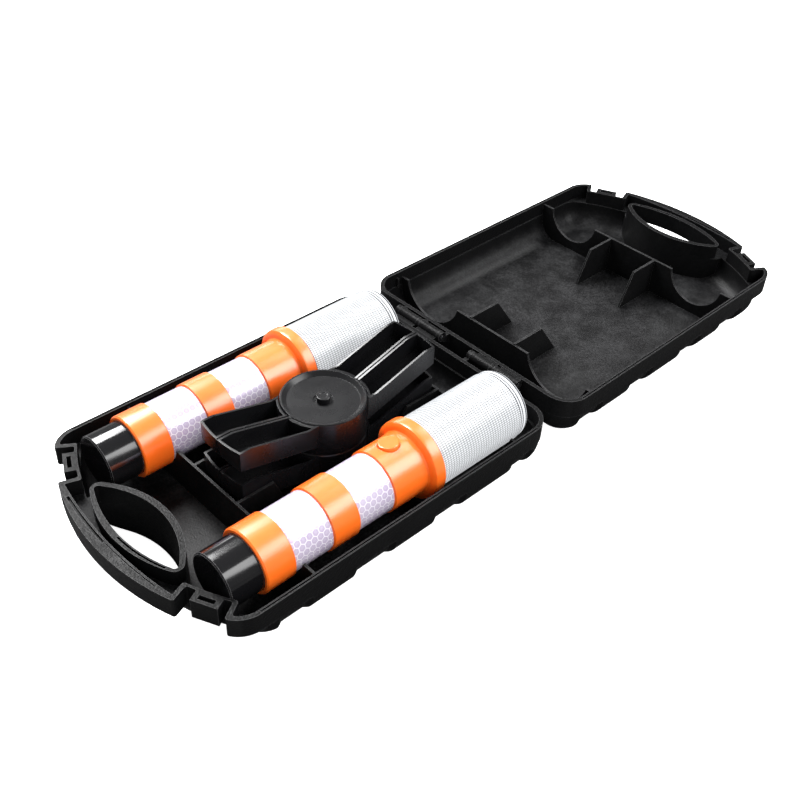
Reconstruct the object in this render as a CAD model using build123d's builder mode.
from build123d import *
import math
import os

# LED road flare kit: a two-half carrying case, opened flat, holding two
# battery flares and two folding stands.
# Frame: +Z up, Z = 0 is the ground under the case, Y = 0 is the hinge line,
# -Y is the base half with its handle, +Y is the lid half.  Millimetres.
# "side" is -1 for the base half and +1 for the lid half.

CUT_OVER = 1.0        # how far cutting shapes run past the faces they cut

# ------------------------------------------------------------------ case
HALF_W = 105.2        # half width of the case at the rim
RIM_Z = 38.0          # rim (parting) plane
HINGE_GAP = 7.75      # hinge line to the hinge-side wall
END_C = 125.5         # hinge line to the centre of the end arcs
END_R = 185.0         # outer end arc of the rim band
BODY_R = 172.0        # end arc of the deep body
CORNER_R = 22.0       # vertical corners of the deep body
RIM_CORNER_R = 20.0   # hinge-side corners of the rim band
RIM_FAR_CORNER_R = RIM_CORNER_R + 1
BOTTOM_R = 21.5       # bottom fillet of the deep body
RIM_WALL, BODY_WALL, END_WALL = 3.0, 4.2, 2.0
FLOOR_Z = 4.4         # inner floor above the ground
WING_H = 15.0         # height of the rim wings and of the handle
WING_FLOOR = 2.6
WING_Z = RIM_Z - WING_H
WING_FLOOR_Z = WING_Z + WING_FLOOR
BLANK_L = 400.0       # length of the blank that the end arc trims

# latch pockets in the rim band, and the block in each
POCKET_FROM, POCKET_TO = 20.4, 30.7   # degrees round the end arc
POCKET_MEAN_R = 178.0   # radius at which a wall thickness is turned into degrees
POCKET_OUT_R = 200.0    # the cutter ends here, outside the rim band
POCKET_WALL = 1.6
POCKET_FILLET = 1.8
BLOCK_ANGLE = 25.8
BLOCK_L, BLOCK_T, BLOCK_Z = 18.0, 7.7, 22.5
BLOCK_ROOT = 1.5        # part of the block sunk into the body wall
SLOT_L, SLOT_W, SLOT_DEPTH = 11.2, 3.0, 12.0

# grip opening and handle band
GRIP_HALF = 47.5                    # half length of the opening
GRIP_IN, GRIP_OUT = 264.3, 294.3    # near and far edge at the middle
GRIP_END = 283.5                    # both edges at the tips
GRIP_WALL = 4.3
GRIP_TIP_R = 2.5
GRIP_TAIL = 330.0                   # far end of the opening when carried on past the case
# arcs: distance at the middle, half chord, sag over that chord
HANDLE_ARC = (302.2, 64.0, 6.4)     # inner edge of the handle band
GRIP_ARC = (GRIP_OUT, GRIP_HALF, GRIP_OUT - GRIP_END)
HANDLE_SOLID_HALF, HANDLE_SOLID_W = 63.0, 40.0   # part of the handle left solid
# arc, offsets outside it, x range (mirrored on the base turned to the lid), depth
ALIGNMENT_GROOVES = [
    (HANDLE_ARC, 1.3, 3.3, -49, -1, 2.0),
    (HANDLE_ARC, 1.3, 2.0, 1, 49, 1.0),
    (GRIP_ARC, 0.9, 2.3, 1, 41, 2.0),
]
ALIGNMENT_CUT_H = 3.0
RIM_GROOVE_W, RIM_GROOVE_L, RIM_GROOVE_H, RIM_GROOVE_D = 1.1, 241, 3.0, 145.5

# valleys across the outside: start and end measured from the hinge line
VALLEYS = {
    -1: [(28.0, 50.0), (95.0, 125.0), (160.0, 194.0), (228.0, 254.0)],
    1: [(24.0, 52.0), (85.0, 115.0), (151.0, 181.0), (207.0, 240.0)],
}
VALLEY_DEPTH = 2.2
VALLEY_TOP = 22.6
VALLEY_RAMP = 4.0
VALLEY_OVER = 0.5                   # how far the ramps rise past the outside
VALLEY_RUN = VALLEY_OVER / (VALLEY_DEPTH / VALLEY_RAMP)

# inner ribs
RIB_T = 1.8
RIB_INSET = 2.6                     # rib edges, sunk in the walls and floor
RIB_BLANK_H = 76.0
HINGE_RIB_D, HANDLE_RIB_D = 41.7, 223.6
# cross ribs: distance from the hinge line, top, radius of the flare cradles
CROSS_RIBS = [(HINGE_RIB_D, 32.0, 29.3), (HANDLE_RIB_D, 35.6, 24.6)]
FIN_X = 23.4
# lengthwise fins: (distance from the hinge line, z)
FINS = [
    [(HINGE_RIB_D, RIB_INSET), (HINGE_RIB_D, RIM_Z - 5), (73.5, RIM_Z - 5),
     (94.5, FLOOR_Z), (94.5, RIB_INSET)],
    [(HANDLE_RIB_D, RIB_INSET), (HANDLE_RIB_D, RIM_Z - 2.6), (193.7, RIM_Z - 2.6),
     (180.6, FLOOR_Z), (180.6, RIB_INSET)],
]
TAB_SIZE = (3.2, 1.6, 9)            # small tabs on the long walls
TAB_INSET, TAB_DROP = 3.6, 9
TAB_D = (35.0, 226.0)

# hinge
KNUCKLE_R, PIN_R, PIN_CLEARANCE = 4.0, 1.5, 0.06
RINGS = [(14.5, 17.6), (37.1, 40.3), (60.1, 63.5)]   # x ranges on one hinge
BARRELS = [(17.8, 36.9), (40.5, 59.9)]               # x ranges on the other
PIN_INSET = 0.2                     # pin ends inside the outermost rings
PIN_CHAMFER = 0.3

# ---------------------------------------------------------------- flares
# A name ending in _U is a distance along the flare, from the hinge line
# towards the handle.  A name ending in _R is a radius.
FLARE_X = 66.2
FLARE_Z = RIM_Z - 2.6
TUBE_R, TAPE_SEAT_R, TAPE_R, BORE_R = 22.8, 21.2, 21.55, 20.0
FLANGE_R, LENS_R, LENS_BORE_R, CAP_R = 29.2, 26.6, 24.4, 19.7
LENS_END_U, LENS_STEP_U, FLANGE_U, CREASE_U = 21.4, 28.9, 106.4, 115.8
TAPES = [(145.9, 175.6), (197.2, 227.2)]
LIP_U, CAP_END_U = 249.2, 273.1
BUTTON_U, BUTTON_R = 130.0, 7.4
STOP_U = 165.8        # shelf in the bore that stops the battery carrier

BUTTON_TOP = TUBE_R + 1.7     # heights here are from the flare axis
BUTTON_BASE = 17.0
SWITCH_BOARD_H, SWITCH_BOARD_T = 6.7, 1.6
SWITCH_BOARD_W, SWITCH_BOARD_L = 18.0, 34.4
SWITCH_H, SWITCH_W, SWITCH_T = 8.4, 7.2, 3.4
LEDGE_H, LEDGE_OUT, LEDGE_L, LEDGE_W, LEDGE_T = 4.9, 17.4, 22.0, 4.0, 1.75

BOARD_U = FLANGE_U + 4.2      # light board
BOARD_R, BOARD_T = 21.6, 1.6
BOARD_FACE_U = BOARD_U - 0.1  # seat of the screw heads and of the LED tower
BOSS_U = FLANGE_U + 5.9       # near end of the screw bosses and of the leads
SCREW_COUNT, SCREW_CIRCLE_R = 3, 18.8
TOWER_R, TOWER_BORE_R, TOWER_L, TOWER_TOP_T = 10.5, 7.5, 64.0, 1.6
LED_SIDES = 6
LED_U = (50.0, 66.0, 82.0, 98.0)

CARRIER_PLATES_U = (166.0, 222.6)
CARRIER_PLATE_T = 2.4
CELL_U, CELL_R, CELL_L, CELL_CIRCLE_R = 169.6, 7.25, 50.5, 8.6
CELL_TIP_R, CELL_TIP_L = 2.7, 1.4
LEADS_END_U = 165.9
SPRING_U, SPRING_L, SPRING_PITCH, SPRING_R, WIRE_R = 226.0, 21.6, 4.4, 8.8, 0.5

# ---------------------------------------------------------------- stands
STAND_Y = -131.3      # pivot of the stands
HUB_R, HUB_H = 30.2, 27.2
SOCKET_R, SOCKET_BORE_R, SOCKET_TOP, SOCKET_CEILING = 22.0, 20.3, 23.4, 21.0
HUB_FLANGE_T = 2.6
RING_BORE_R = 22.1    # bore of the leg rings round the socket
PIVOT_HOLE_R = 2.65
LEG_HALF, LEG_GAP, LEG_WALL = 21.0, 0.5, 1.6   # outer and inner side from X = 0
LEG_TIP, LEG_KINK = 87.6, 76.5
LEG_ROOT = 16.0
FOOT_TOP, FOOT_BOTTOM = 39.6, 25.4
ROOT_TOP, ROOT_BOTTOM = 26.6, 8.0
SPLIT_Z = 12.0        # level between the two leg rings
SPLIT_GAP = 0.06      # from the split level to either ring
OWN_RING_R = HUB_R - 1.5      # a leg runs into its own ring
OTHER_RING_R = HUB_R + 0.45   # and keeps clear of the other one
STAND_Z = FLOOR_Z + 0.2
STACK_GAP = 0.05
PIVOT = Axis((0, STAND_Y, 0), (0, 0, 1))

os.makedirs("parts", exist_ok=True)


def finish(part, name):
    part.label = name
    export_step(part, "parts/" + name + ".step")


def outline(plane, points):
    """Face inside a closed polyline."""
    with BuildSketch(plane) as sketch:
        with BuildLine():
            Polyline(*points, close=True)
        make_face()
    return sketch.sketch


def turned(plane, points, axis):
    with BuildPart() as piece:
        revolve(outline(plane, points), axis=axis)
    return piece.part


# ============================================================ case halves
def end_point(radius, angle, side, x_sign):
    """Point round the end arc, angle in degrees from the middle of the end."""
    turn = math.radians(angle)
    return (x_sign * radius * math.sin(turn), side * (END_C + radius * math.cos(turn)))


def half_plan(inset, end_r, near_corner_r, far_corner_r, side, z):
    """Plan of one half: a rectangle closed at the far end by an arc."""
    with BuildSketch(Plane.XY.offset(z)) as sketch:
        with Locations((0, side * (HINGE_GAP + inset + BLANK_L / 2))):
            Rectangle(2 * (HALF_W - inset), BLANK_L)
        with Locations((0, side * END_C)):
            Circle(end_r - inset, mode=Mode.INTERSECT)
        by_y = sketch.vertices().sort_by(Axis.Y)
        near = by_y[:2] if side > 0 else by_y[-2:]
        fillet(near, near_corner_r - inset)
        far = [v for v in sketch.vertices()
               if abs(v.Y) > 150 and abs(abs(v.X) - (HALF_W - inset)) < 0.01]
        fillet(far, far_corner_r - inset)
    return sketch.sketch


def grip_plan(grow, side, z, tail=False):
    """Plan of the grip opening, enlarged; tail carries it on past the end."""
    half = GRIP_HALF + grow
    with BuildSketch(Plane.XY.offset(z)) as sketch:
        with BuildLine():
            left = (-half, side * GRIP_END)
            right = (half, side * GRIP_END)
            ThreePointArc(left, (0, side * (GRIP_IN - grow)), right)
            if tail:
                Polyline(right, (half, side * GRIP_TAIL), (-half, side * GRIP_TAIL), left)
            else:
                ThreePointArc(right, (0, side * (GRIP_OUT + grow)), left)
        make_face()
        if not tail:
            fillet(sketch.vertices(), GRIP_TIP_R + grow * 0.8)
    return sketch.sketch


def arc_strip(arc, inner, outer, x0, x1, side, z):
    """Strip that follows an arc, from inner to outer millimetres outside it."""
    middle, half, sag = arc
    radius = (half ** 2 + sag ** 2) / (2 * sag)

    def edge(offset, x):
        return (x, side * (middle - radius + math.sqrt((radius + offset) ** 2 - x * x)))

    x_mid = (x0 + x1) / 2
    with BuildSketch(Plane.XY.offset(z)) as sketch:
        with BuildLine():
            ThreePointArc(edge(inner, x0), edge(inner, x_mid), edge(inner, x1))
            Line(edge(inner, x1), edge(outer, x1))
            ThreePointArc(edge(outer, x1), edge(outer, x_mid), edge(outer, x0))
            Line(edge(outer, x0), edge(inner, x0))
        make_face()
    return sketch.sketch


def rim_block(inset, side, z, height):
    """Rim zone as a prism: the outline with the two latch pockets cut out."""
    spread = math.degrees(inset / POCKET_MEAN_R)
    start, end = POCKET_FROM - spread, POCKET_TO + spread
    inner_r = BODY_R - min(inset, POCKET_WALL)

    def on_pocket_side(edge):
        x, y = abs(edge.center().X), abs(edge.center().Y)
        angle = math.degrees(math.atan2(x, y - END_C))
        return y > 150 and min(abs(angle - a) for a in (start, end)) < 0.02

    with BuildPart() as block:
        extrude(half_plan(inset, END_R, RIM_CORNER_R, RIM_FAR_CORNER_R, side, z), amount=height)
        for x_sign in (1, -1):
            with BuildSketch(Plane.XY.offset(z - CUT_OVER)):
                with BuildLine():
                    first = end_point(inner_r, start, side, x_sign)
                    middle = end_point(inner_r, (start + end) / 2, side, x_sign)
                    last = end_point(inner_r, end, side, x_sign)
                    ThreePointArc(first, middle, last)
                    Polyline(last, end_point(POCKET_OUT_R, end, side, x_sign),
                             end_point(POCKET_OUT_R, start, side, x_sign), first)
                make_face()
            extrude(amount=height + 2 * CUT_OVER, mode=Mode.SUBTRACT)
        fillet([e for e in block.edges().filter_by(Axis.Z) if on_pocket_side(e)], POCKET_FILLET)
    return block.part


def valley_section(side, depth, distance):
    """Cross-section of the body lying depth inside the outer surface."""
    flat_x, centre_z = HALF_W - BOTTOM_R, BOTTOM_R
    wall_x, beyond_x = HALF_W - depth, HALF_W + 4
    diagonal = (BOTTOM_R - depth) * math.sqrt(0.5)
    plane = Plane((0, side * distance, 0), x_dir=(1, 0, 0), z_dir=(0, -1, 0))
    with BuildSketch(plane) as sketch:
        with BuildLine():
            Polyline((beyond_x, VALLEY_TOP + 6), (beyond_x, VALLEY_TOP + 1), (wall_x, centre_z))
            ThreePointArc((wall_x, centre_z), (flat_x + diagonal, centre_z - diagonal),
                          (flat_x, depth))
            Line((flat_x, depth), (-flat_x, depth))
            ThreePointArc((-flat_x, depth), (-flat_x - diagonal, centre_z - diagonal),
                          (-wall_x, centre_z))
            Polyline((-wall_x, centre_z), (-beyond_x, VALLEY_TOP + 1),
                     (-beyond_x, VALLEY_TOP + 6), (beyond_x, VALLEY_TOP + 6))
        make_face()
    return sketch.sketch.faces()[0]


def make_valleys(side):
    """Cutter for the valleys, with ramps up to the raised pads between them."""
    with BuildPart() as keep:
        for start, end in VALLEYS[side]:
            stations = [(-VALLEY_OVER, start - VALLEY_RUN), (VALLEY_DEPTH, start + VALLEY_RAMP),
                        (VALLEY_DEPTH, end - VALLEY_RAMP), (-VALLEY_OVER, end + VALLEY_RUN)]
            for pair in zip(stations, stations[1:]):
                loft([valley_section(side, depth, d) for depth, d in pair], ruled=True)
    with BuildPart() as cutter:
        for start, end in VALLEYS[side]:
            with Locations((0, side * (start + end) / 2, VALLEY_TOP / 2 - 2.5)):
                Box(2 * HALF_W + 6, end - start + VALLEY_RUN, VALLEY_TOP + 5)
        add(keep.part, mode=Mode.SUBTRACT)
    return cutter.part


def make_body_cavity(side):
    with BuildPart() as cavity:
        extrude(half_plan(BODY_WALL, BODY_R + BODY_WALL - END_WALL, CORNER_R, CORNER_R,
                          side, FLOOR_Z),
                amount=WING_FLOOR_Z - FLOOR_Z + 0.02)
        fillet(cavity.faces().sort_by(Axis.Z)[0].edges(), BOTTOM_R - BODY_WALL)
        extrude(grip_plan(GRIP_WALL, side, 0, tail=True), amount=RIM_Z + 5, mode=Mode.SUBTRACT)
    return cavity.part


def make_rim_cavity(side):
    """Hollow of the rim zone and wings, leaving the grip wall and handle."""
    with BuildPart() as cavity:
        add(rim_block(RIM_WALL, side, WING_FLOOR_Z, WING_H))
        extrude(grip_plan(GRIP_WALL, side, WING_FLOOR_Z), amount=WING_H, mode=Mode.SUBTRACT)
        extrude(arc_strip(HANDLE_ARC, 0, HANDLE_SOLID_W, -HANDLE_SOLID_HALF, HANDLE_SOLID_HALF,
                          side, WING_FLOOR_Z - CUT_OVER),
                amount=WING_H + 2 * CUT_OVER, mode=Mode.SUBTRACT)
    return cavity.part


def make_ribs(side):
    with BuildPart() as ribs:
        for distance, top, cradle_r in CROSS_RIBS:
            with BuildSketch(Plane((0, side * distance + RIB_T / 2, 0),
                                   x_dir=(1, 0, 0), z_dir=(0, -1, 0))) as sketch:
                with Locations((0, RIB_INSET + RIB_BLANK_H / 2)):
                    Rectangle(2 * (HALF_W - RIB_INSET), RIB_BLANK_H)
                fillet(sketch.vertices().group_by(Axis.Y)[0], BOTTOM_R - RIB_INSET)
                with Locations((0, top + 50)):
                    Rectangle(400, 100, mode=Mode.SUBTRACT)
                with Locations((FLARE_X, RIM_Z), (-FLARE_X, RIM_Z)):
                    Circle(cradle_r, mode=Mode.SUBTRACT)
            extrude(amount=RIB_T)
        for x in (FIN_X, -FIN_X):
            with BuildSketch(Plane.YZ.offset(x - RIB_T / 2)):
                for fin in FINS:
                    with BuildLine():
                        Polyline(*[(side * d, z) for d, z in fin], close=True)
                    make_face()
            extrude(amount=RIB_T)
        for x_sign in (1, -1):
            for distance in TAB_D:
                with Locations((x_sign * (HALF_W - TAB_INSET), side * distance,
                                RIM_Z - TAB_DROP)):
                    Box(*TAB_SIZE)
    return ribs.part


def make_half(side):
    turn = -side                    # hinge pattern turns half a turn about +Z
    valleys = make_valleys(side)
    body_cavity = make_body_cavity(side)
    rim_cavity = make_rim_cavity(side)
    ribs = make_ribs(side)

    with BuildPart() as shell:
        extrude(half_plan(0, BODY_R, CORNER_R, CORNER_R, side, 0), amount=RIM_Z)
        fillet(shell.faces().sort_by(Axis.Z)[0].edges(), BOTTOM_R)
        add(valleys, mode=Mode.SUBTRACT)
        # below the handle the body stops short of the grip opening
        extrude(grip_plan(0, side, -CUT_OVER, tail=True), amount=WING_Z + CUT_OVER,
                mode=Mode.SUBTRACT)
        # rim wings and handle
        add(rim_block(0, side, WING_Z, WING_H))
        extrude(grip_plan(0, side, -CUT_OVER), amount=RIM_Z + 2 * CUT_OVER, mode=Mode.SUBTRACT)
        add(rim_cavity, mode=Mode.SUBTRACT)
        add(body_cavity, mode=Mode.SUBTRACT)
        add(ribs)

        # latch blocks, each with a slot in the top
        block_w = BLOCK_T + BLOCK_ROOT
        for x_sign in (1, -1):
            angle = math.radians(BLOCK_ANGLE)
            x, y = end_point(BODY_R - BLOCK_ROOT + block_w / 2, BLOCK_ANGLE, side, x_sign)
            block = Plane((x, y, BLOCK_Z), z_dir=(0, 0, 1),
                          x_dir=(math.cos(angle), -x_sign * side * math.sin(angle), 0))
            with BuildSketch(block):
                Rectangle(BLOCK_L, block_w)
            extrude(amount=RIM_Z - BLOCK_Z)
            with BuildSketch(block.offset(RIM_Z - BLOCK_Z - SLOT_DEPTH)):
                with Locations((0, side * BLOCK_ROOT / 2)):
                    Rectangle(SLOT_L, SLOT_W)
            extrude(amount=SLOT_DEPTH + CUT_OVER, mode=Mode.SUBTRACT)

        # alignment grooves in the handle band and in the wall of the grip
        for arc, inner, outer, x0, x1, depth in ALIGNMENT_GROOVES:
            low, high = sorted((x0 * turn, x1 * turn))
            extrude(arc_strip(arc, inner, outer, low, high, side, RIM_Z - depth),
                    amount=ALIGNMENT_CUT_H, mode=Mode.SUBTRACT)
        # rim groove along the long sides
        for x_sign in (1, -1):
            with Locations((x_sign * (HALF_W - RIM_WALL / 2), side * RIM_GROOVE_D, RIM_Z)):
                Box(RIM_GROOVE_W, RIM_GROOVE_L, RIM_GROOVE_H, mode=Mode.SUBTRACT)

        # hinge knuckles: rings on one hinge, barrels on the other
        knuckles = [(turn * x0, turn * x1) for x0, x1 in RINGS]
        knuckles += [(-turn * x0, -turn * x1) for x0, x1 in BARRELS]
        root_y = side * (HINGE_GAP + 2.5)
        for x0, x1 in knuckles:
            low, high = min(x0, x1), max(x0, x1)
            with BuildSketch(Plane.YZ.offset(low)):
                with Locations((0, RIM_Z)):
                    Circle(KNUCKLE_R)
                with BuildLine():
                    Polyline((0, RIM_Z - KNUCKLE_R), (root_y, RIM_Z - 10),
                             (root_y, RIM_Z - 0.4), (0, RIM_Z - 0.4), close=True)
                make_face()
                with Locations((0, RIM_Z)):
                    Circle(PIN_R + PIN_CLEARANCE, mode=Mode.SUBTRACT)
            extrude(amount=high - low)
    return shell.part


def make_hinge_pin(x_sign):
    near, far = RINGS[0][0] + PIN_INSET, RINGS[-1][1] - PIN_INSET
    with BuildPart() as pin:
        with BuildSketch(Plane.YZ.offset(near if x_sign > 0 else -far)):
            with Locations((0, RIM_Z)):
                Circle(PIN_R)
        extrude(amount=far - near)
        chamfer(pin.edges(), PIN_CHAMFER)
    return pin.part


# ================================================================ flares
class Flare:
    """Place of one flare lying along Y, and the planes its pieces are drawn on."""

    def __init__(self, name, x, shift, button_angle):
        self.name = name
        self.x = x
        self.shift = shift          # moves the whole flare along +Y
        turn = math.radians(button_angle)
        # profile plane: local x is the distance u, local y the radius
        self.profile = Plane(self.point(0), x_dir=(0, -1, 0), z_dir=(-1, 0, 0))
        self.axis = Axis((x, 0, FLARE_Z), (0, -1, 0))
        # button plane: touches the flare axis and faces out along the button
        self.button = Plane(self.point(BUTTON_U), x_dir=(0, -1, 0),
                            z_dir=(math.cos(turn), 0, math.sin(turn)))

    def point(self, u, radius=0.0, angle=0.0):
        turn = math.radians(angle)
        return (self.x + radius * math.cos(turn), self.shift - u,
                FLARE_Z + radius * math.sin(turn))

    def across(self, u):
        """Plane square to the flare, facing the handle."""
        return Plane(self.point(u), x_dir=(1, 0, 0), z_dir=(0, -1, 0))


def make_lens(flare):
    """Clear cup with a stepped far end and a spigot into the flange."""
    return turned(flare.profile, [   # (u, radius)
        (LENS_END_U, 0), (LENS_END_U, LENS_R - 2.0), (LENS_END_U + 1.6, LENS_R - 0.7),
        (LENS_STEP_U, LENS_R - 0.7), (LENS_STEP_U + 0.5, LENS_R), (FLANGE_U - 0.1, LENS_R),
        (FLANGE_U - 0.1, LENS_R - 1.6), (FLANGE_U + 5.5, LENS_R - 1.6),
        (FLANGE_U + 5.5, LENS_BORE_R - 0.8), (FLANGE_U - 4, LENS_BORE_R),
        (LENS_STEP_U, LENS_BORE_R), (LENS_END_U + 2.4, LENS_BORE_R - 1.5), (LENS_END_U + 2.4, 0),
    ], flare.axis)


def make_body_tube(flare):
    """Tube with flange, tape seats, bore and button hole."""
    points = [                       # (u, radius)
        (FLANGE_U, LENS_R - 1.5), (FLANGE_U, FLANGE_R - 0.5), (FLANGE_U + 0.5, FLANGE_R),
        (CREASE_U - 3.2, FLANGE_R), (CREASE_U - 1.2, FLANGE_R - 0.5), (CREASE_U, FLANGE_R - 2.2),
        (CREASE_U + 0.6, TUBE_R + 0.8), (CREASE_U + 1.6, TUBE_R),
    ]
    for start, end in TAPES:
        points += [(start - 0.6, TUBE_R), (start, TAPE_SEAT_R), (end, TAPE_SEAT_R),
                   (end + 0.6, TUBE_R)]
    points += [
        (LIP_U - 1.0, TUBE_R), (LIP_U, TUBE_R - 0.9), (LIP_U, BORE_R), (STOP_U, BORE_R),
        (STOP_U, BORE_R - 1.6), (STOP_U - 2.4, BORE_R - 1.6), (STOP_U - 4.0, BORE_R),
        (CREASE_U + 4, BORE_R), (CREASE_U + 4, 16.0), (FLANGE_U + 7.6, 16.0),
        (FLANGE_U + 7.6, LENS_R - 1.5),
    ]
    with BuildPart() as body:
        revolve(outline(flare.profile, points), axis=flare.axis)
        with BuildSketch(flare.button.offset(12)):
            Circle(BUTTON_R + 0.35)
        extrude(amount=20, mode=Mode.SUBTRACT)
        # bosses for the light board screws, and their holes
        with BuildSketch(flare.across(BOSS_U)):
            with PolarLocations(SCREW_CIRCLE_R, SCREW_COUNT, start_angle=90):
                Circle(2.6)
        extrude(amount=3.0)
        with BuildSketch(flare.across(BOSS_U - 0.1)):
            with PolarLocations(SCREW_CIRCLE_R, SCREW_COUNT, start_angle=90):
                Circle(1.15)
        extrude(amount=5.0, mode=Mode.SUBTRACT)
        # ledges for the switch board
        with BuildSketch(flare.button.offset(LEDGE_H)):
            with Locations((0, LEDGE_OUT), (0, -LEDGE_OUT)):
                Rectangle(LEDGE_L, LEDGE_W)
        extrude(amount=LEDGE_T)
    return body.part


def make_band(flare, start, end):
    low, high = start + 0.15, end - 0.15
    inner_r = TAPE_SEAT_R + 0.02
    return turned(flare.profile, [(low, inner_r), (high, inner_r), (high, TAPE_R), (low, TAPE_R)],
                  flare.axis)


def make_button(flare):
    """Domed cap with a skirt and a stem over the switch."""
    with BuildPart() as button:
        with BuildSketch(flare.button.offset(BUTTON_BASE)):
            Circle(BUTTON_R)
        extrude(amount=BUTTON_TOP - BUTTON_BASE)
        outward = Axis((0, 0, 0), flare.button.z_dir)
        fillet(button.faces().sort_by(outward)[-1].edges(), 0.9)
        with BuildSketch(flare.button.offset(16.4)):
            Circle(BUTTON_R + 1.2)
        extrude(amount=1.4)
        with BuildSketch(flare.button.offset(14.2)):
            Circle(1.6)
        extrude(amount=2.3)
    return button.part


def make_switch(flare):
    with BuildPart() as switch:
        with BuildSketch(flare.button.offset(SWITCH_H)):
            Rectangle(SWITCH_W, SWITCH_W)
        extrude(amount=SWITCH_T)
        with BuildSketch(flare.button.offset(SWITCH_H + SWITCH_T)):
            Circle(1.8)
        extrude(amount=1.3)
    return switch.part


def make_switch_board(flare):
    with BuildPart() as board:
        with BuildSketch(flare.button.offset(SWITCH_BOARD_H)):
            Rectangle(SWITCH_BOARD_W, SWITCH_BOARD_L)
            with Locations((6.2, 7.5), (6.2, -7.5), (-6.2, 7.5), (-6.2, -7.5)):
                Circle(1.1, mode=Mode.SUBTRACT)
        extrude(amount=SWITCH_BOARD_T)
    return board.part


def make_seal(flare, u, radius, section_r):
    with BuildPart() as seal:
        with BuildSketch(flare.profile):
            with Locations((u, radius)):
                Circle(section_r)
        revolve(axis=flare.axis)
    return seal.part


def make_driver_board(flare):
    with BuildPart() as board:
        with BuildSketch(flare.across(BOARD_U)):
            Circle(BOARD_R)
            with PolarLocations(SCREW_CIRCLE_R, SCREW_COUNT, start_angle=90):
                Circle(1.3, mode=Mode.SUBTRACT)
        extrude(amount=BOARD_T)
    return board.part


def make_led_tower(flare):
    """Hollow six-sided post with a closed end, standing on the light board."""
    start = FLANGE_U - TOWER_L
    with BuildPart() as tower:
        with BuildSketch(flare.across(start)):
            RegularPolygon(TOWER_R, LED_SIDES)
            RegularPolygon(TOWER_BORE_R, LED_SIDES, mode=Mode.SUBTRACT)
        extrude(amount=BOARD_FACE_U - start)
        with BuildSketch(flare.across(start - TOWER_TOP_T)):
            RegularPolygon(TOWER_R, LED_SIDES)
        extrude(amount=TOWER_TOP_T)
    return tower.part


def make_leds(flare):
    face_r = TOWER_R * math.cos(math.pi / LED_SIDES) + 0.05
    with BuildPart() as leds:
        for i in range(LED_SIDES):
            angle = (i + 0.5) * 360 / LED_SIDES
            turn = math.radians(angle)
            for u in LED_U:
                seat = Plane(flare.point(u, face_r, angle), x_dir=(0, -1, 0),
                             z_dir=(math.cos(turn), 0, math.sin(turn)))
                with BuildSketch(seat):
                    Rectangle(5.0, 5.0)
                extrude(amount=1.0)
                with BuildSketch(seat.offset(1.0)):
                    Circle(1.9)
                extrude(amount=0.6)
    return leds.part


def make_board_screws(flare):
    with BuildPart() as screws:
        for i in range(SCREW_COUNT):
            angle = 90 + i * 360 / SCREW_COUNT
            seat = Plane(flare.point(BOARD_FACE_U, SCREW_CIRCLE_R, angle),
                         x_dir=(1, 0, 0), z_dir=(0, 1, 0))
            with BuildSketch(seat):
                Circle(2.2)
                RegularPolygon(0.8, 4, mode=Mode.SUBTRACT)
            extrude(amount=1.4)
            with BuildSketch(seat):
                Circle(1.1)
            extrude(amount=-5.4)
    return screws.part


def make_battery_carrier(flare):
    """Two notched end plates joined by a thin centre rod and three outer rods."""
    with BuildPart() as carrier:
        for u in CARRIER_PLATES_U:
            with BuildSketch(flare.across(u)):
                Circle(BORE_R - 0.3)
                with PolarLocations(18.8, 3, start_angle=90):
                    Circle(3.0, mode=Mode.SUBTRACT)
            extrude(amount=CARRIER_PLATE_T)
        with BuildSketch(flare.across(168.0)):
            Circle(1.2)
            with PolarLocations(16.4, 3, start_angle=30):
                Circle(2.2)
        extrude(amount=55.0)
    return carrier.part


def make_cells(flare):
    with BuildPart() as cells:
        for i in range(3):
            end = Plane(flare.point(CELL_U, CELL_CIRCLE_R, 90 + 120 * i),
                        x_dir=(1, 0, 0), z_dir=(0, -1, 0))
            with BuildSketch(end.offset(CELL_TIP_L)):
                Circle(CELL_R)
            extrude(amount=CELL_L - CELL_TIP_L)
            with BuildSketch(end):
                Circle(CELL_TIP_R)
            extrude(amount=CELL_TIP_L)
    return cells.part


def make_spring(flare):
    coil = Helix(pitch=SPRING_PITCH, height=SPRING_L, radius=SPRING_R,
                 center=flare.point(SPRING_U), direction=(0, -1, 0))
    with BuildPart() as spring:
        with BuildSketch(Plane(origin=coil @ 0, z_dir=coil % 0)):
            Circle(WIRE_R)
        sweep(path=coil)
    return spring.part


def make_leads(flare):
    """Two wires from the battery carrier towards the light board."""
    with BuildPart() as leads:
        with BuildSketch(flare.across(BOSS_U)):
            with Locations((-3.0, -12.0), (3.0, -12.0)):
                Circle(0.7)
        extrude(amount=LEADS_END_U - BOSS_U)
    return leads.part


def make_cap(flare):
    """Cap with a grooved plug, hollow for the magnet."""
    plug_r, hollow_r, groove_r = 19.0, 16.6, 17.9
    return turned(flare.profile, [   # (u, radius)
        (LIP_U + 0.15, CAP_R - 0.25), (LIP_U + 0.15, CAP_R), (CAP_END_U - 0.9, CAP_R),
        (CAP_END_U, CAP_R - 0.9), (CAP_END_U, 0), (CAP_END_U - 3.0, 0),
        (CAP_END_U - 3.0, hollow_r), (250.6, hollow_r), (250.6, 4.0), (248.6, 4.0),
        (248.6, hollow_r), (238.0, hollow_r), (238.0, plug_r), (243.0, plug_r),
        (243.0, groove_r), (245.4, groove_r), (245.4, plug_r), (LIP_U - 1.0, plug_r),
        (LIP_U - 1.0, CAP_R - 0.25),
    ], flare.axis)


def make_magnet(flare):
    with BuildPart() as magnet:
        with BuildSketch(flare.across(CAP_END_U - 8.8)):
            Circle(13.0)
            Circle(3.0, mode=Mode.SUBTRACT)
        extrude(amount=5.0)
        chamfer(magnet.edges(), 0.3)
    return magnet.part


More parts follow.
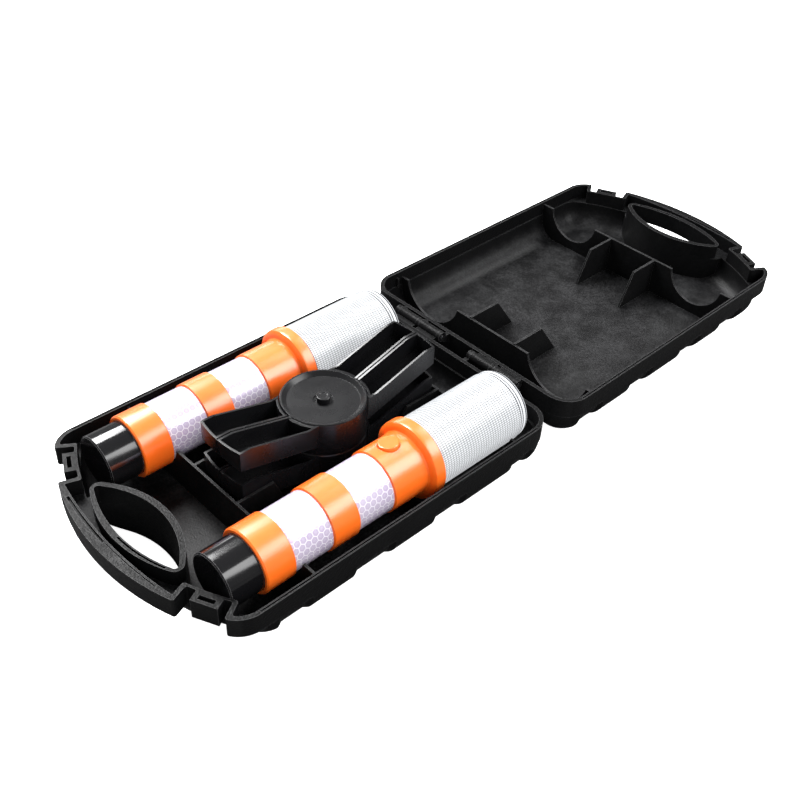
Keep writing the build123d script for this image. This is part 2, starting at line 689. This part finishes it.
FLARE_PIECES = {
    "lens": make_lens,
    "body_tube": make_body_tube,
    "reflective_band_upper": lambda flare: make_band(flare, *TAPES[0]),
    "reflective_band_lower": lambda flare: make_band(flare, *TAPES[1]),
    "button": make_button,
    "tactile_switch": make_switch,
    "switch_board": make_switch_board,
    "lens_seal": lambda flare: make_seal(flare, FLANGE_U + 6.6, LENS_R - 3.2, section_r=0.9),
    "driver_board": make_driver_board,
    "led_tower": make_led_tower,
    "leds": make_leds,
    "board_screws": make_board_screws,
    "battery_carrier": make_battery_carrier,
    "aa_cells": make_cells,
    "contact_spring": make_spring,
    "leads": make_leads,
    "battery_cap": make_cap,
    "cap_seal": lambda flare: make_seal(flare, 244.2, 18.93, section_r=1.0),
    "cap_magnet": make_magnet,
}


# ================================================================ stands
# Heights inside a stand are measured from its base_z.
def level(base_z, z):
    return Plane((0, STAND_Y, base_z + z), x_dir=(1, 0, 0), z_dir=(0, 0, 1))


def pivot_profile(base_z):
    """Plane for turned pieces: local x is the radius, local y the height."""
    return Plane((0, STAND_Y, base_z), x_dir=(1, 0, 0), z_dir=(0, -1, 0))


def leg_profile(base_z, x=0):
    """Plane for leg side views: local x is along Y, local y the height."""
    return Plane((x, STAND_Y, base_z), x_dir=(0, 1, 0), z_dir=(1, 0, 0))


def make_hub(base_z):
    """Centre piece: a socket for the flare's cap, open downwards as stowed."""
    with BuildPart() as hub:
        with BuildSketch(level(base_z, 0)):
            Circle(HUB_R)
        extrude(amount=HUB_FLANGE_T)
        with BuildSketch(level(base_z, 0)):
            Circle(SOCKET_R)
        extrude(amount=SOCKET_TOP)
        with BuildSketch(level(base_z, -CUT_OVER)):
            Circle(SOCKET_BORE_R)
        extrude(amount=SOCKET_CEILING + CUT_OVER, mode=Mode.SUBTRACT)
        with BuildSketch(level(base_z, 0)):
            Circle(PIVOT_HOLE_R)
        extrude(amount=30, mode=Mode.SUBTRACT)
        fillet(hub.faces().sort_by(Axis.Z)[0].edges(), 0.8)
    return hub.part


def make_leg(base_z, x_sign, y_sign, clear_low, clear_high):
    """Open trough from the hub to the foot, in one quadrant."""
    with BuildPart() as hollow:
        with BuildSketch(leg_profile(base_z, x_sign * (LEG_GAP + LEG_WALL))):
            with BuildLine():
                Polyline((y_sign * 20.0, ROOT_BOTTOM + 1.9), (y_sign * 23.0, ROOT_BOTTOM + 2.2),
                         (y_sign * (LEG_TIP - 3.2), FOOT_BOTTOM + 1.6),
                         (y_sign * (LEG_TIP + 2), FOOT_BOTTOM + 1.2),
                         (y_sign * (LEG_TIP + 2), 60), (y_sign * 20.0, 60), close=True)
            make_face()
        extrude(amount=x_sign * (LEG_HALF - LEG_GAP - 2 * LEG_WALL))
        with BuildSketch(level(base_z, -5)):
            Circle(LEG_TIP - LEG_WALL)
        extrude(amount=100, mode=Mode.INTERSECT)
    with BuildPart() as leg:
        with BuildSketch(leg_profile(base_z)):
            with BuildLine():
                Polyline((y_sign * LEG_ROOT, ROOT_BOTTOM), (y_sign * 22.0, ROOT_BOTTOM),
                         (y_sign * (LEG_TIP - 2.0), FOOT_BOTTOM - 0.4),
                         (y_sign * LEG_TIP, FOOT_BOTTOM + 2.0), (y_sign * LEG_TIP, FOOT_TOP),
                         (y_sign * LEG_KINK, FOOT_TOP), (y_sign * HUB_R, ROOT_TOP),
                         (y_sign * LEG_ROOT, ROOT_TOP), close=True)
            make_face()
        extrude(amount=x_sign * LEG_HALF)
        # gap between the leg and the plane X = 0
        with BuildSketch(leg_profile(base_z)):
            with BuildLine():
                Polyline((0, -5), (y_sign * 95, -5), (y_sign * 95, 60), (0, 60), close=True)
            make_face()
        extrude(amount=x_sign * LEG_GAP, mode=Mode.SUBTRACT)
        # foot end curved about the pivot
        with BuildSketch(level(base_z, -5)):
            Circle(LEG_TIP)
        extrude(amount=80, mode=Mode.INTERSECT)
        add(hollow.part, mode=Mode.SUBTRACT)
        # keep clear of the hub, closer where the leg joins its own ring
        with BuildSketch(level(base_z, -5)):
            Circle(clear_low)
        extrude(amount=5 + SPLIT_Z, mode=Mode.SUBTRACT)
        with BuildSketch(level(base_z, SPLIT_Z)):
            Circle(clear_high)
        extrude(amount=60, mode=Mode.SUBTRACT)
    return leg.part


def make_root_wall(base_z, x_sign, y_sign, low, high, inner_r):
    """Curved wall that closes the trough at the hub."""
    with BuildPart() as wall:
        with BuildSketch(level(base_z, low)):
            Circle(OTHER_RING_R + LEG_WALL)
            Circle(inner_r, mode=Mode.SUBTRACT)
            with Locations((x_sign * (LEG_GAP + LEG_HALF) / 2, y_sign * 40)):
                Rectangle(LEG_HALF - LEG_GAP, 80, mode=Mode.INTERSECT)
        extrude(amount=high - low)
    return wall.part


def make_leg_bar(base_z, is_lower):
    """Two opposite legs on a ring; the upper ring has a dished cover."""
    if is_lower:
        quadrants = ((-1, -1), (1, 1))
        clear_low, clear_high = OWN_RING_R, OTHER_RING_R
    else:
        quadrants = ((1, -1), (-1, 1))
        clear_low, clear_high = OTHER_RING_R, OWN_RING_R
    wall_bands = ((ROOT_BOTTOM, SPLIT_Z, clear_low), (SPLIT_Z, ROOT_TOP - 0.4, clear_high))
    legs = [make_leg(base_z, *quadrant, clear_low, clear_high) for quadrant in quadrants]
    walls = [make_root_wall(base_z, *quadrant, *band)
             for quadrant in quadrants for band in wall_bands]

    with BuildPart() as bar:
        if is_lower:
            ring_low = HUB_FLANGE_T + 0.15
            with BuildSketch(level(base_z, ring_low)):
                Circle(HUB_R)
                Circle(RING_BORE_R, mode=Mode.SUBTRACT)
            extrude(amount=SPLIT_Z - SPLIT_GAP - ring_low)
        else:
            ring_low = SPLIT_Z + SPLIT_GAP
            revolve(outline(pivot_profile(base_z), [   # (radius, height)
                (RING_BORE_R, ring_low), (HUB_R, ring_low), (HUB_R, HUB_H - 0.9),
                (HUB_R - 0.6, HUB_H), (HUB_R - 1.7, HUB_H), (25.6, HUB_H - 2.4),
                (25.3, HUB_H - 2.6), (7.2, HUB_H - 2.6), (7.0, HUB_H - 3.2),
                (PIVOT_HOLE_R, HUB_H - 3.2), (PIVOT_HOLE_R, 23.5), (RING_BORE_R, 23.5),
            ]), axis=PIVOT)
        for piece in legs + walls:
            add(piece)
    return bar.part


def make_rivet(base_z):
    return turned(pivot_profile(base_z), [   # (radius, height)
        (0, 17.8), (4.6, 17.8), (4.6, 18.9), (2.55, 18.9), (2.55, HUB_H - 3.15),
        (5.2, HUB_H - 3.15), (5.2, HUB_H + 0.6), (4.7, HUB_H + 1.1), (2.9, HUB_H + 1.1),
        (2.7, HUB_H + 0.7), (0, HUB_H + 0.7),
    ], PIVOT)


def make_steel_plate(base_z):
    with BuildPart() as plate:
        with BuildSketch(level(base_z, 18.95)):
            Circle(16.0)
            Circle(PIVOT_HOLE_R, mode=Mode.SUBTRACT)
        extrude(amount=2.0)
    return plate.part


STAND_PIECES = {
    "hub_socket": make_hub,
    "leg_bar_a": lambda base_z: make_leg_bar(base_z, is_lower=True),
    "leg_bar_b": lambda base_z: make_leg_bar(base_z, is_lower=False),
    "pivot_rivet": make_rivet,
    "steel_plate": make_steel_plate,
}

# ================================================================= build
finish(make_half(-1), "case_base_shell")
finish(make_half(1), "case_lid_shell")
finish(make_hinge_pin(-1), "hinge_pin_left")
finish(make_hinge_pin(1), "hinge_pin_right")

for flare in (Flare("flare_front", FLARE_X, shift=0.0, button_angle=97.0),
              Flare("flare_rear", -FLARE_X, shift=2.7, button_angle=192.0)):
    for piece_name, make_piece in FLARE_PIECES.items():
        finish(make_piece(flare), flare.name + "_" + piece_name)

for stand_name, stand_z in (("stand_lower", STAND_Z),
                            ("stand_upper", STAND_Z + HUB_H + STACK_GAP)):
    for piece_name, make_piece in STAND_PIECES.items():
        finish(make_piece(stand_z), stand_name + "_" + piece_name)
